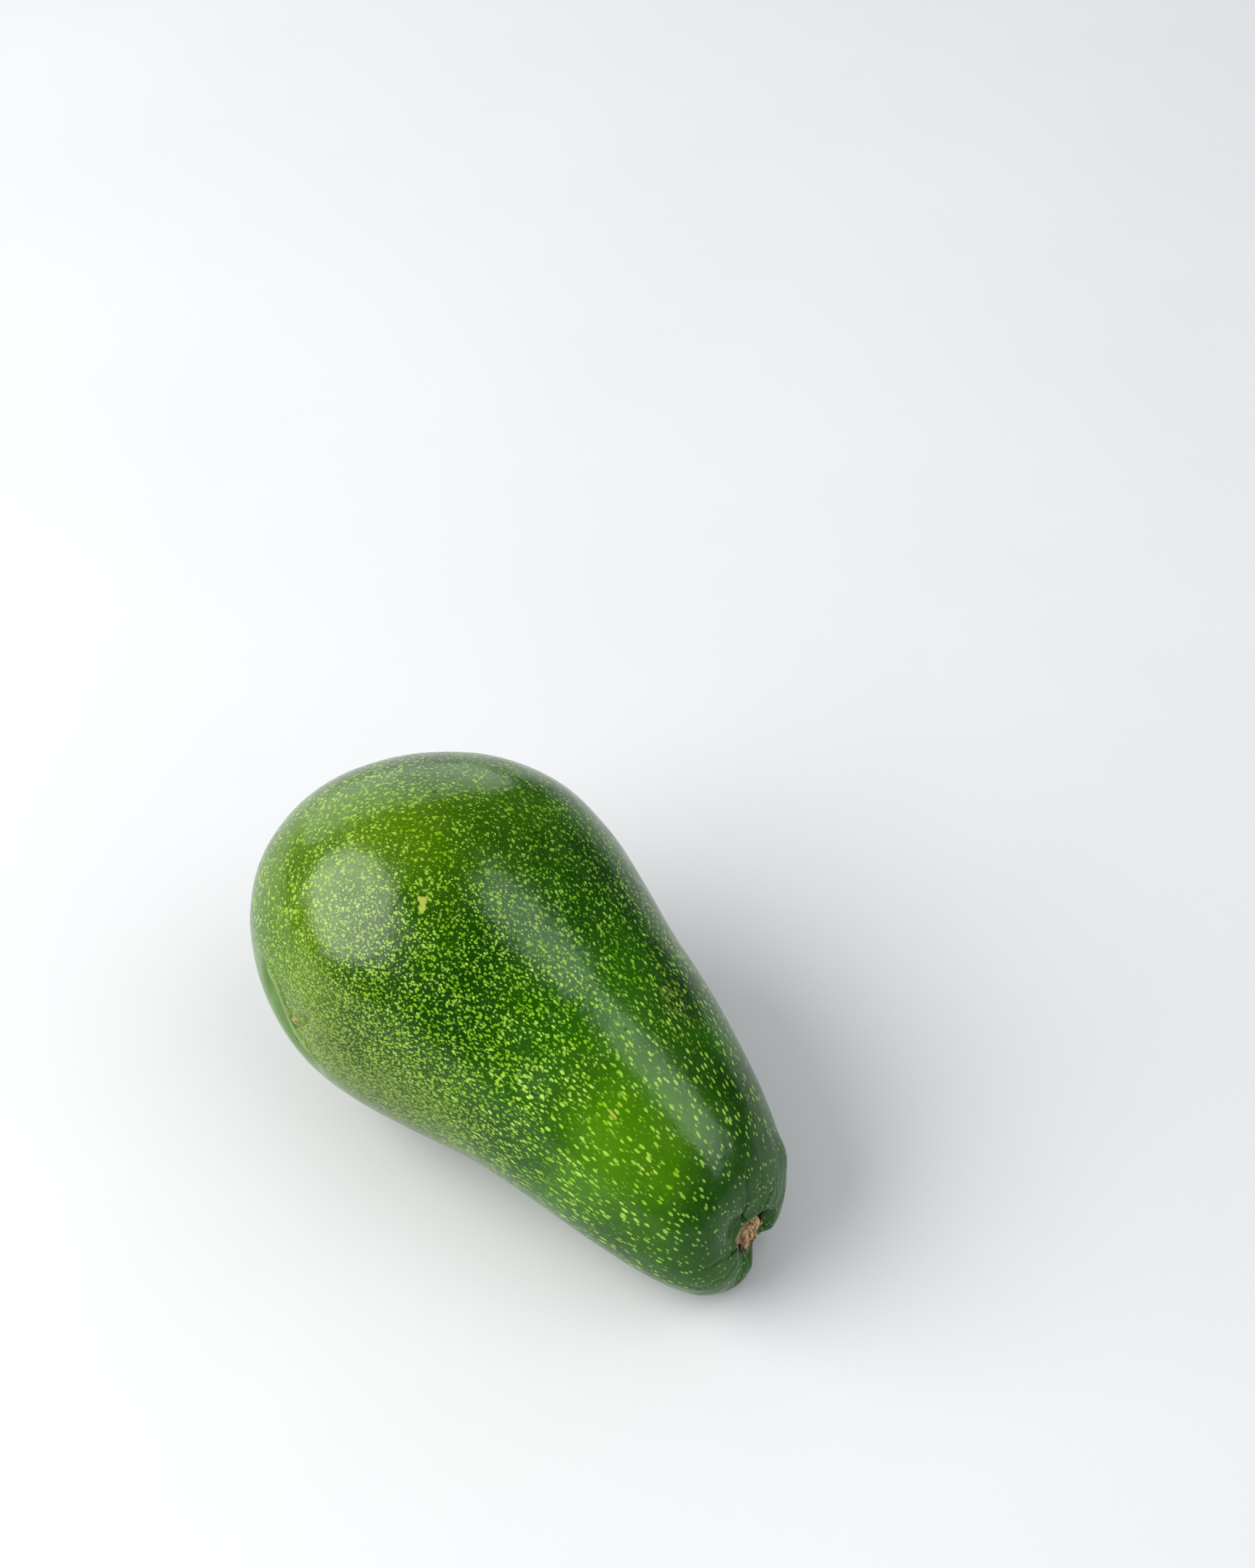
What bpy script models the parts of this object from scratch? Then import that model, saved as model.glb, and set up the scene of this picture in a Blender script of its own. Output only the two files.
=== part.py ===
# Avocado, as picked, lying on its side: a pear-shaped green fruit with the dried stub of its
# stem in the puckered pit at the neck end.
# Metres, +Z up. The long side runs along X, with the neck at +X. The fruit rests on two small
# flats at z = 0, one under the bulb and one under the neck, and its box is centred on X = Y = 0.
#
# Both pieces are first modelled straight, turned about the X axis from the far end of the bulb
# at x = 0. grown() then gives them the fruit's own unevenness, so what fits stays fitting.

from math import cos, pi, radians, sin

import bmesh
import bpy
import numpy as np
from mathutils import Vector
from mathutils.geometry import interpolate_bezier

# Driving dimensions: the fruit
LENGTH = 0.130  # far end of the bulb to the crest round the pit
BULB_WIDTH = 0.0783
SECTION_FLATNESS = 0.972  # height of every section as a share of its width
BULB_STATION = 0.0401  # far end to the widest section
NECK_WIDTH = 0.0605  # at the neck station
NECK_STATION = 0.0515  # back from the crest round the pit
NECK_SLOPE = 0.218  # how fast the radius falls at the neck station
BOW = 0.0040  # how far the middle of the fruit stands to the +Y side of its ends
BOW_STATION = 0.0655  # far end to the top of the bow
SKEW_SIDE = 0.19  # how far the neck's end face turns to its +Y side, as a slope
SKEW_UP = 0.17  # the same to its upper side
FOOT_DEPTH = 0.0006  # how deep the flats are pressed into the round underside

# How round the outline is: shares of the run to the next station
FAR_END_ROUNDNESS = 0.61
BULB_ROUNDNESS = 0.41
SHOULDER_RUN = 0.325
WAIST_RUN = 0.25
NECK_RUN = 0.525
NECK_END_ROUNDNESS = 0.547

# Driving dimensions: the stub of the stem
STUB_DIAMETER = 0.0072
STUB_SINK = 0.0016  # how far its broken end stays below the crest
STUB_TAPER = 0.88  # diameter of the broken end as a share of the seated end
STUB_TORN = 0.0005  # height of the uneven break
SEAT_GAP = 0.0003
STUB_CLEARANCE = 0.0006  # from its side to the wall of the pit

# Driving dimensions: the pit that the stem grew from
CREST_DIAMETER = 0.0160
PIT_DEPTH = 0.0050
PIT_MOUTH_ROUNDNESS = 0.45
PIT_SIDE = 0.0028  # how far the pit lies off the middle of the neck, to the +Y side
PIT_DROP = 0.0044  # the same downwards
FOLD_TURNS = (127.0, 218.0, 294.0)  # folds that part the end into lobes, in degrees from +Y
FOLD_DEPTHS = (0.0040, 0.0006, 0.0036)
FOLD_WIDTHS = (40.0, 17.0, 20.0)  # degrees
FOLD_REACH = 0.012  # how far out from the crest a fold runs

# Driving dimensions: the shallow hollow of the blossom scar, on the -Y side of the bulb
HOLLOW_STATION = 0.0330
HOLLOW_TURN = 180.0  # degrees from +Y
HOLLOW_DEPTH = 0.0011
HOLLOW_RADIUS = 0.0100

# Fineness
TURN_STEPS = 80
STUB_STEPS = 24

# Radii that fit together
CREST_RADIUS = CREST_DIAMETER / 2
STUB_RADIUS = STUB_DIAMETER / 2
PIT_RADIUS = STUB_RADIUS + STUB_CLEARANCE


def bezier(start, start_handle, end_handle, end, points):
    """The points of one stretch of an outline, without its last one."""
    corners = [Vector((x, 0.0, r)) for x, r in (start, start_handle, end_handle, end)]
    return interpolate_bezier(*corners, points + 1)[:-1]


def fruit_outline():
    """Half the outline of the straight fruit, from the far end to the middle of the pit's floor."""
    bulb = BULB_WIDTH / 2
    neck = NECK_WIDTH / 2
    crest = CREST_RADIUS
    pit = PIT_RADIUS
    neck_x = LENGTH - NECK_STATION
    shoulder = neck_x - BULB_STATION
    floor_x = LENGTH - PIT_DEPTH
    waist = WAIST_RUN * shoulder
    run = NECK_RUN * NECK_STATION
    outline = bezier(
        (0.0, 0.0),
        (0.0, FAR_END_ROUNDNESS * bulb),
        (BULB_STATION * (1 - BULB_ROUNDNESS), bulb),
        (BULB_STATION, bulb),
        12,
    )
    outline += bezier(
        (BULB_STATION, bulb),
        (BULB_STATION + SHOULDER_RUN * shoulder, bulb),
        (neck_x - waist, neck + NECK_SLOPE * waist),
        (neck_x, neck),
        10,
    )
    outline += bezier(
        (neck_x, neck),
        (neck_x + run, neck - NECK_SLOPE * run),
        (LENGTH, crest + NECK_END_ROUNDNESS * (neck - crest)),
        (LENGTH, crest),
        14,
    )
    outline += bezier(
        (LENGTH, crest),
        (LENGTH, crest - PIT_MOUTH_ROUNDNESS * (crest - pit)),
        (floor_x + (1 - PIT_MOUTH_ROUNDNESS) * PIT_DEPTH, pit),
        (floor_x, pit),
        6,
    )
    outline += [Vector((floor_x, 0.0, pit)), Vector((floor_x, 0.0, 0.0))]
    return outline


def turned(name, outline, steps):
    """A closed body turned about the X axis from an outline that starts and ends on it."""
    bm = bmesh.new()
    corners = [bm.verts.new(point) for point in outline]
    edges = [bm.edges.new(pair) for pair in zip(corners, corners[1:])]
    bmesh.ops.spin(
        bm,
        geom=corners + edges,
        cent=(0, 0, 0),
        axis=(1, 0, 0),
        angle=2 * pi,
        steps=steps,
        use_merge=True,
    )
    bmesh.ops.remove_doubles(bm, verts=bm.verts, dist=1e-6)
    bmesh.ops.recalc_face_normals(bm, faces=bm.faces)
    mesh = bpy.data.meshes.new(name)
    bm.to_mesh(mesh)
    bm.free()
    return mesh


def points_of(mesh):
    flat = np.empty(len(mesh.vertices) * 3, np.float32)
    mesh.vertices.foreach_get("co", flat)
    return flat.reshape(-1, 3).astype(float)


def set_points(mesh, points):
    mesh.vertices.foreach_set("co", points.astype(np.float32).ravel())
    mesh.update()


def eased(value):
    """0 to 1 with a soft start and end."""
    value = np.clip(value, 0.0, 1.0)
    return value * value * (3 - 2 * value)


def turn_apart(turn, other):
    """The angle in degrees between two turns about the axis, from -180 to 180."""
    return (turn - other + 180.0) % 360.0 - 180.0


def folds(points):
    """How far each point is drawn back by the folds that part the neck end into lobes."""
    x, y, z = points.T
    radius = np.hypot(y, z)
    turn = np.degrees(np.arctan2(z, y))
    mouth = eased((radius - PIT_RADIUS) / (CREST_RADIUS - PIT_RADIUS))
    outside = 1 - eased((radius - CREST_RADIUS) / FOLD_REACH)
    at_neck = eased((x - (LENGTH - NECK_STATION)) / (NECK_STATION / 2))
    depth = np.zeros(len(points))
    for fold_turn, fold_depth, fold_width in zip(FOLD_TURNS, FOLD_DEPTHS, FOLD_WIDTHS):
        depth += fold_depth * np.exp(-((turn_apart(turn, fold_turn) / fold_width) ** 2))
    return depth * mouth * outside * at_neck


def hollow(points):
    """The share of its radius that each point keeps round the blossom scar."""
    bulb = BULB_WIDTH / 2
    turn = radians(HOLLOW_TURN)
    middle = np.array((HOLLOW_STATION, bulb * cos(turn), bulb * sin(turn)))
    away = np.linalg.norm(points - middle, axis=1)
    return 1 - HOLLOW_DEPTH / bulb * np.exp(-((away / HOLLOW_RADIUS) ** 2))


def grown(points):
    """Straight, turned points as they lie in the uneven fruit."""
    x, y, z = points.T
    from_crest = (np.hypot(y, z) - CREST_RADIUS) / (NECK_WIDTH / 2 - CREST_RADIUS)
    at_end = eased((x - (LENGTH - NECK_STATION)) / NECK_STATION)
    at_pit = at_end * eased(1 - from_crest)
    kept = hollow(points)
    y = y * kept
    z = z * kept * SECTION_FLATNESS
    bowed = BOW * (1 - ((x - BOW_STATION) / (LENGTH / 2)) ** 2)
    x = x - folds(points)
    x = x - at_end * (SKEW_SIDE * y + SKEW_UP * z)
    return np.column_stack((x, y + bowed + at_pit * PIT_SIDE, z - at_pit * PIT_DROP))


def tilted(points, tilt):
    """Points turned about the Y axis, so that the neck goes down by the tilt."""
    x, y, z = points.T
    return np.column_stack((x * cos(tilt) + z * sin(tilt), y, z * cos(tilt) - x * sin(tilt)))


def resting_tilt(points):
    """The tilt at which the bulb and the neck touch the surface below together."""
    middle = (BULB_STATION + LENGTH - NECK_STATION) / 2
    bulb = points[:, 0] < middle
    level, steep = 0.0, radians(60)
    for _ in range(40):
        tilt = (level + steep) / 2
        height = tilted(points, tilt)[:, 2]
        if height[bulb].min() < height[~bulb].min():
            level = tilt
        else:
            steep = tilt
    return tilt


def cut_flat(mesh):
    """Cuts off what lies below z = 0 and closes each cut with one flat face."""
    bm = bmesh.new()
    bm.from_mesh(mesh)
    everything = bm.verts[:] + bm.edges[:] + bm.faces[:]
    cut = bmesh.ops.bisect_plane(
        bm,
        geom=everything,
        dist=1e-6,
        plane_co=(0, 0, 0),
        plane_no=(0, 0, 1),
        clear_inner=True,
    )
    for corner in cut["geom_cut"]:
        if isinstance(corner, bmesh.types.BMVert):
            corner.co.z = 0.0
    rims = [edge for edge in bm.edges if edge.is_boundary]
    bmesh.ops.holes_fill(bm, edges=rims)
    bmesh.ops.recalc_face_normals(bm, faces=bm.faces)
    bm.to_mesh(mesh)
    bm.free()


def stub_outline():
    """Half the outline of the straight stub, from its seated end to its broken end."""
    seat_x = LENGTH - PIT_DEPTH + SEAT_GAP
    end_x = LENGTH - STUB_SINK
    broken = STUB_RADIUS * STUB_TAPER
    corners = [
        (seat_x, 0.0),
        (seat_x, STUB_RADIUS * 0.6),
        (seat_x, STUB_RADIUS),
        ((seat_x + end_x) / 2, (STUB_RADIUS + broken) / 2),
        (end_x, broken),
        (end_x, broken * 0.5),
        (end_x, 0.0),
    ]
    return [Vector((x, 0.0, r)) for x, r in corners]


def torn(points):
    """The stub's points with its free end broken off unevenly, never past its own length."""
    x, y, z = points.T
    end_x = LENGTH - STUB_SINK
    at_end = x > end_x - 1e-6
    turn = np.arctan2(z, y)
    share = np.hypot(y, z) / STUB_RADIUS
    break_line = 0.5 + 0.3 * share * np.sin(2 * turn + 0.6) + 0.2 * share * np.sin(5 * turn)
    return np.column_stack((x - at_end * STUB_TORN * break_line, y, z))


def material(name, colour, roughness):
    made = bpy.data.materials.new(name)
    made.use_nodes = True
    shader = made.node_tree.nodes["Principled BSDF"]
    shader.inputs["Base Color"].default_value = (*colour, 1.0)
    shader.inputs["Roughness"].default_value = roughness
    shader.inputs["Metallic"].default_value = 0.0
    return made


def add_piece(mesh, location, collection, parent, finish):
    mesh.shade_smooth()
    mesh.set_sharp_from_angle(angle=radians(50))
    mesh.materials.append(finish)
    piece = bpy.data.objects.new(mesh.name, mesh)
    piece.location = location
    piece.parent = parent
    collection.objects.link(piece)
    return piece


def main():
    for old in list(bpy.data.objects):
        bpy.data.objects.remove(old, do_unlink=True)
    collection = bpy.data.collections.new("avocado")
    bpy.context.scene.collection.children.link(collection)

    fruit = turned("fruit", fruit_outline(), TURN_STEPS)
    stub = turned("stem_stub", stub_outline(), STUB_STEPS)
    skin = grown(points_of(fruit))
    stem = grown(torn(points_of(stub)))
    tilt = resting_tilt(skin)
    skin = tilted(skin, tilt)
    stem = tilted(stem, tilt)
    lift = np.array((0.0, 0.0, -skin[:, 2].min() - FOOT_DEPTH))
    set_points(fruit, skin + lift)
    set_points(stub, stem + lift)
    cut_flat(fruit)

    whole = np.concatenate((points_of(fruit), points_of(stub)))
    middle = (whole.min(axis=0) + whole.max(axis=0)) / 2
    place = Vector((-middle[0], -middle[1], 0.0))

    avocado = bpy.data.objects.new("avocado", None)
    collection.objects.link(avocado)
    add_piece(fruit, place, collection, avocado, material("skin", (0.07, 0.17, 0.01), 0.35))
    add_piece(stub, place, collection, avocado, material("dry_stem", (0.38, 0.24, 0.14), 0.9))


main()
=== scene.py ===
from math import cos, pi, radians, sin

import bmesh
import bpy
import numpy as np
from mathutils import Matrix, Vector, noise
from mathutils.geometry import interpolate_bezier


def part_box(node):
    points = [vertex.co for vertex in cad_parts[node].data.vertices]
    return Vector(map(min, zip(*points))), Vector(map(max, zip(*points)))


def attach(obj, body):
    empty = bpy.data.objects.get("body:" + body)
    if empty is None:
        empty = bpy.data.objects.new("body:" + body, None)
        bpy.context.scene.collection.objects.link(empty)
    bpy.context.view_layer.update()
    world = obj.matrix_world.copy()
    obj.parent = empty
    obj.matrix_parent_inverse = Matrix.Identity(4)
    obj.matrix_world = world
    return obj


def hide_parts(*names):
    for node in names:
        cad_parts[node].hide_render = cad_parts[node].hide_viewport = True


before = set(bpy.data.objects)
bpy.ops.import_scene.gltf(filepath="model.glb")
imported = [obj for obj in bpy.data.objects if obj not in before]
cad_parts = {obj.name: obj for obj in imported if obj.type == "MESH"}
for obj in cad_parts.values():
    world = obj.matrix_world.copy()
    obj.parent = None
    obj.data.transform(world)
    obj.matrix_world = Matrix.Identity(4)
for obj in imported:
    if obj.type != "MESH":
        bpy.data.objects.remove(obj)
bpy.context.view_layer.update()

# An avocado lying on its side on a pale table. X runs along the fruit, the neck is at +X.
# Both pieces are modelled straight about the X axis, then bent and tilted as the fruit grew.

fruitForm = {
    "length": 0.130,  # far end of the bulb to the crest round the pit
    "bulbWidth": 0.0783,
    "flatness": 0.972,  # height of a section as a share of its width
    "bulbStation": 0.0401,
    "neckWidth": 0.0605,
    "neckBack": 0.0515,  # neck station, back from the crest
    "neckSlope": 0.218,
    "bow": 0.0040,
    "bowStation": 0.0655,
    "skewSide": 0.19,
    "skewUp": 0.17,
    "footDepth": 0.0006,
    "farEndRound": 0.61,
    "bulbRound": 0.41,
    "shoulderRun": 0.325,
    "waistRun": 0.25,
    "neckRun": 0.525,
    "neckEndRound": 0.547,
    "crestRadius": 0.0080,
    "pitRadius": 0.0042,
    "pitDepth": 0.0050,
    "pitMouthRound": 0.45,
    "pitSide": 0.0028,
    "pitDrop": 0.0044,
    "foldReach": 0.012,
    "folds": ((127, 0.0040, 40), (218, 0.0006, 17), (294, 0.0036, 20)),  # turn, depth, width
    "hollowStation": 0.0330,
    "hollowTurn": 180,
    "hollowDepth": 0.0011,
    "hollowRadius": 0.0100,
    "turnSteps": 310,
    "coarseSpacing": 0.00105,
    "fineSpacing": 0.00025,
    "fineRun": (0.008, 0.018),  # where the fine spacing round the crest ends, and over how far
    "waves": ((0.00040, 0.030), (0.00010, 0.011)),  # height and length of the slow and quick waves
}


def eased(value):
    value = np.clip(value, 0.0, 1.0)
    return value * value * (3 - 2 * value)


def rising(value, start, run):
    return eased((value - start) / run)


def falling(value, start, run):
    return 1 - eased((value - start) / run)


def hump(value, middle, width):
    # 1 at the middle, and nearly nothing two widths away
    return np.exp(-(((value - middle) / width) ** 2))


def turnApart(turn, other):
    return (turn - other + 180.0) % 360.0 - 180.0


def turnHump(turn, middle, width):
    return hump(turnApart(turn, middle), 0, width)


def pointsOf(mesh):
    flat = np.empty(len(mesh.vertices) * 3, np.float32)
    mesh.vertices.foreach_get("co", flat)
    return flat.reshape(-1, 3).astype(float)


def setPoints(mesh, points):
    mesh.vertices.foreach_set("co", points.astype(np.float32).ravel())
    mesh.update()


def normalsOf(mesh):
    flat = np.empty(len(mesh.vertices) * 3, np.float32)
    mesh.vertices.foreach_get("normal", flat)
    return flat.reshape(-1, 3).astype(float)


def unevenness(points, wavelength, seed):
    # smooth noise from about -1 to 1 at each point; each seed takes it from another place
    scale = 1 / wavelength
    offset = Vector((seed * 7.3, seed * 3.1, seed * 5.7))
    return np.array([noise.noise(Vector(p) * scale + offset) for p in points])


def bezier(start, startHandle, endHandle, end):
    # 300 points along one curve of the outline
    corners = [Vector((x, 0.0, r)) for x, r in (start, startHandle, endHandle, end)]
    return [(p.x, p.z) for p in interpolate_bezier(*corners, 300)]


def fruitOutline(form):
    length = form["length"]
    bulb = form["bulbWidth"] / 2
    bulbX = form["bulbStation"]
    neck = form["neckWidth"] / 2
    neckX = length - form["neckBack"]
    slope = form["neckSlope"]
    crest = form["crestRadius"]
    pit = form["pitRadius"]
    floorX = length - form["pitDepth"]
    shoulder = form["shoulderRun"] * (neckX - bulbX)
    waist = form["waistRun"] * (neckX - bulbX)
    run = form["neckRun"] * form["neckBack"]
    crestHandle = crest + form["neckEndRound"] * (neck - crest)
    mouth = form["pitMouthRound"]
    outline = bezier((0, 0), (0, form["farEndRound"] * bulb), (bulbX * (1 - form["bulbRound"]), bulb),
                     (bulbX, bulb))
    outline += bezier((bulbX, bulb), (bulbX + shoulder, bulb), (neckX - waist, neck + slope * waist),
                      (neckX, neck))[1:]
    outline += bezier((neckX, neck), (neckX + run, neck - slope * run), (length, crestHandle),
                      (length, crest))[1:]
    outline += bezier((length, crest), (length, crest - mouth * (crest - pit)),
                      (floorX + (1 - mouth) * form["pitDepth"], pit), (floorX, pit))[1:]
    outline += [(floorX, pit * share) for share in (0.75, 0.5, 0.25, 0.0)]
    return np.array(outline)


def spaced(outline, form):
    # fewer points along the fruit, many round the crest and in the pit
    steps = np.linalg.norm(np.diff(outline, axis=0), axis=1)
    arc = np.concatenate(([0.0], np.cumsum(steps)))
    crestArc = arc[np.argmax(outline[:, 0])]
    away = rising(np.abs(arc - crestArc), *form["fineRun"])
    spacing = form["fineSpacing"] + (form["coarseSpacing"] - form["fineSpacing"]) * away
    share = np.concatenate(([0.0], np.cumsum(steps * 2 / (spacing[1:] + spacing[:-1]))))
    count = int(share[-1])
    places = np.interp(np.linspace(0, share[-1], count + 1), share, arc)
    return [Vector((np.interp(p, arc, outline[:, 0]), 0.0, np.interp(p, arc, outline[:, 1])))
            for p in places]


def spunBody(outline, steps):
    bm = bmesh.new()
    corners = [bm.verts.new(point) for point in outline]
    edges = [bm.edges.new(pair) for pair in zip(corners, corners[1:])]
    bmesh.ops.spin(bm, geom=corners + edges, cent=(0, 0, 0), axis=(1, 0, 0), angle=2 * pi,
                   steps=steps, use_merge=True)
    bmesh.ops.remove_doubles(bm, verts=bm.verts, dist=1e-6)
    bmesh.ops.recalc_face_normals(bm, faces=bm.faces)
    return bm


def grown(points, form):
    # straight, turned points as they lie in the uneven fruit
    x, y, z = points.T
    length = form["length"]
    crest = form["crestRadius"]
    bulb = form["bulbWidth"] / 2
    radius = np.hypot(y, z)
    turn = np.degrees(np.arctan2(z, y))
    atEnd = eased((x - (length - form["neckBack"])) / form["neckBack"])
    atPit = atEnd * eased(1 - (radius - crest) / (form["neckWidth"] / 2 - crest))
    mouth = eased((radius - form["pitRadius"]) / (crest - form["pitRadius"]))
    outside = 1 - eased((radius - crest) / form["foldReach"])
    atNeck = eased((x - (length - form["neckBack"])) / (form["neckBack"] / 2))
    drawnBack = sum(depth * turnHump(turn, at, width) for at, depth, width in form["folds"])
    hollowTurn = radians(form["hollowTurn"])
    middle = np.array((form["hollowStation"], bulb * cos(hollowTurn), bulb * sin(hollowTurn)))
    away = np.linalg.norm(points - middle, axis=1)
    kept = 1 - form["hollowDepth"] / bulb * hump(away, 0, form["hollowRadius"])
    y = y * kept
    z = z * kept * form["flatness"]
    bowed = form["bow"] * (1 - ((x - form["bowStation"]) / (length / 2)) ** 2)
    x = x - drawnBack * mouth * outside * atNeck
    x = x - atEnd * (form["skewSide"] * y + form["skewUp"] * z)
    return np.column_stack((x, y + bowed + atPit * form["pitSide"], z - atPit * form["pitDrop"]))


def tilted(points, tilt):
    x, y, z = points.T
    return np.column_stack((x * cos(tilt) + z * sin(tilt), y, z * cos(tilt) - x * sin(tilt)))


def restingTilt(points, form):
    # the tilt at which the bulb and the neck touch the table together
    bulb = points[:, 0] < (form["bulbStation"] + form["length"] - form["neckBack"]) / 2
    level, steep = 0.0, radians(60)
    for _ in range(40):
        tilt = (level + steep) / 2
        height = tilted(points, tilt)[:, 2]
        if height[bulb].min() < height[~bulb].min():
            level = tilt
        else:
            steep = tilt
    return tilt


def storeVector(mesh, name, x, y, z):
    made = mesh.attributes.new(name, "FLOAT_VECTOR", "POINT")
    made.data.foreach_set("vector", np.column_stack((x, y, z)).astype(np.float32).ravel())


print("avocado: the fruit's form")

# The neck's end. A crease runs back from the crest round the pit:
# turn at the crest, turn gained per mm, start, run, width, depth
stemEnd = {
    "creases": (
        (108, -2.1, 0.0005, 0.0105, 0.00042, 0.00100),
        (158, 0.7, 0.0010, 0.0150, 0.00038, 0.00050),
        (176, 1.3, 0.0010, 0.0160, 0.00040, 0.00028),
        (192, 1.2, 0.0015, 0.0150, 0.00040, 0.00022),
        (206, 0.9, 0.0010, 0.0130, 0.00045, 0.00020),
        (232, -0.6, 0.0010, 0.0090, 0.00050, 0.00030),
        (256, -0.4, 0.0010, 0.0080, 0.00050, 0.00030),
        (296, 0.2, 0.0000, 0.0110, 0.00060, 0.00080),
        (330, 0.5, 0.0005, 0.0070, 0.00050, 0.00035),
        (12, 0.6, 0.0005, 0.0065, 0.00045, 0.00028),
        (48, 0.5, 0.0005, 0.0090, 0.00040, 0.00030),
        (70, -2.4, 0.0000, 0.0060, 0.00045, 0.00060),
        (86, -1.2, 0.0010, 0.0080, 0.00038, 0.00030),
    ),
    "creaseStrength": 0.72,
    "creaseWander": 2.0,  # degrees that a crease strays to either side
    "creasePace": 900,
    "creaseWidening": 0.6,
    "shoulderWidth": 2.6,  # the swelling beside a crease, in widths of the crease
    "shoulderShare": 0.35,
    "fullyShaded": 0.0007,  # a crease this deep takes all of the painted shade
    "pitMargin": 1.05,
    "pitEase": 0.0015,
    "kinkStation": 0.1255,
    "kinkTurn": 24,
    "kinkOut": 0.0155,
    "kinkStretch": (1.0, 1.0, 0.7),
    "kinkHeight": 0.0008,
    "kinkRadius": 0.0030,
    "fluteHeight": 0.00010,
    "fluteStart": (0.092, 0.030),
    "flutePace": 12,
    "fluteWidth": 0.16,
    "fluteEase": 0.003,
}

# The blossom scar on the side of the bulb. The places of the lip, the pip and the nook are
# stations in mm and turns in degrees, and the sizes are in metres
scar = {
    "middle": 0.0340,
    "reach": 0.0120,
    "halfTurn": 60,
    "lip": ((22.0, 170.0), (24.9, 172.4), (28.0, 173.6), (30.4, 177.2), (33.3, 181.6), (35.9, 184.6),
            (38.6, 185.8), (41.6, 187.4), (45.0, 191.0)),
    "lipHeight": 0.00060,
    "lipWidth": 0.00080,
    "lipRise": 0.004,
    "lipFall": 0.006,
    "slant": 0.8,
    "pocketDepth": 0.00180,
    "pocketWidth": 0.0064,
    "pocketEdge": 0.0008,
    "pip": (35.5, 179.3),
    "pipHeight": 0.00050,
    "pipLong": 0.00120,
    "pipWide": 0.00082,
    "pipLean": 28,
    "pipFlat": 0.3,
    "moatDepth": 0.00028,  # the groove round the pip
    "moatAt": 1.7,
    "moatWidth": 0.45,
    "nook": (37.9, 173.8),
    "nookDepth": 0.00070,
    "nookRadius": 0.0017,
}

# Where the finishes lie: tables of stations and values, then patches as a middle and a width,
# round the fruit in degrees or along it in metres, and starts and ends as a place and a run
skinPlan = {
    "grainStretch": ((0.0, 0.02, 0.05, 0.08, 0.10, 0.13), (1.5, 1.15, 1.2, 1.7, 2.7, 3.3)),
    "coarseCover": ((0.0, 0.012, 0.035, 0.060, 0.080, 0.095, 0.110, 0.120),
                    (0.12, 0.19, 0.17, 0.17, 0.12, 0.05, 0.012, 0.0)),
    "fineFade": ((0.0, 0.08, 0.115, 0.125), (1, 0.9, 0.35, 0.0)),
    "dashCover": ((0.0, 0.05, 0.09, 0.118, 0.127), (0.008, 0.024, 0.100, 0.095, 0.045)),
    "bandEdge": ((0.0, 0.022, 0.030, 0.036, 0.045, 0.060, 0.080, 0.100),
                 (165, 172, 178, 186, 192, 199, 206, 214)),
    "bandRagged": (7, 0.0065),
    "bandRise": (-2, 9),
    "bandFall": (7, 15),
    "bandStart": (0.010, 0.012),
    "bandEnd": (0.066, 0.030),
    "bandClear": 0.82,  # how far the band is cleared of specks
    "flankTurn": (178, 42),
    "flankStart": (0.015, 0.03),
    "flankEnd": (0.062, 0.030),
    "bellyTurn": (140, 40),
    "bellyAlong": (0.066, 0.022),
    "bellyShare": 0.9,
    "fineCover": (0.03, 0.20),  # everywhere, and more on the flank and the belly
    "patchWidth": 0.014,
    "shadedTurn": (20, 50),
    "oliveTurn": (125, 70),
    "oliveEnd": (0.025, 0.04),
    "leafTurn": (130, 42),
    "leafStart": (0.078, 0.02),
    "leafEnd": (0.112, 0.012),
    "darkTurn": (142, 34),
    "darkAlong": (0.060, 0.020),
    "bloomStart": (0.112, 0.016),
    "pipReach": 1.25,
    "corkReach": 0.0059,
    "corkSides": ((140, 45, 0.0005), (20, 70, -0.0009), (235, 35, -0.0008)),  # turn, width, more reach
    "corkRagged": ((0.0006, 0.0022), (0.0005, 0.0009)),
    "corkEdge": 0.0007,
    "corkBack": 0.02,
}

# Marks on the skin: station, turn, half length, half width, kind
marks = (
    (0.0446, 115.4, 0.0012, 0.00090, "fleck"),
    (0.0458, 117.4, 0.0010, 0.00070, "fleck"),
    (0.0985, 125.0, 0.0011, 0.00042, "fleck"),
    (0.0905, 68.0, 0.0060, 0.0030, "scuff"),
    (0.0330, 40.0, 0.0070, 0.0045, "scuff"),
    (0.0620, 300.0, 0.0080, 0.0050, "scuff"),
    (0.0800, 10.0, 0.0050, 0.0030, "scuff"),
    (0.0250, 250.0, 0.0060, 0.0050, "scuff"),
)


def scarPlace(form, station, turn):
    # metres along and round the bulb, as if it were flat there, from a station in mm and a turn
    bulb = form["bulbWidth"] / 2
    return station / 1000, bulb * np.radians(turn - form["hollowTurn"])


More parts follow.
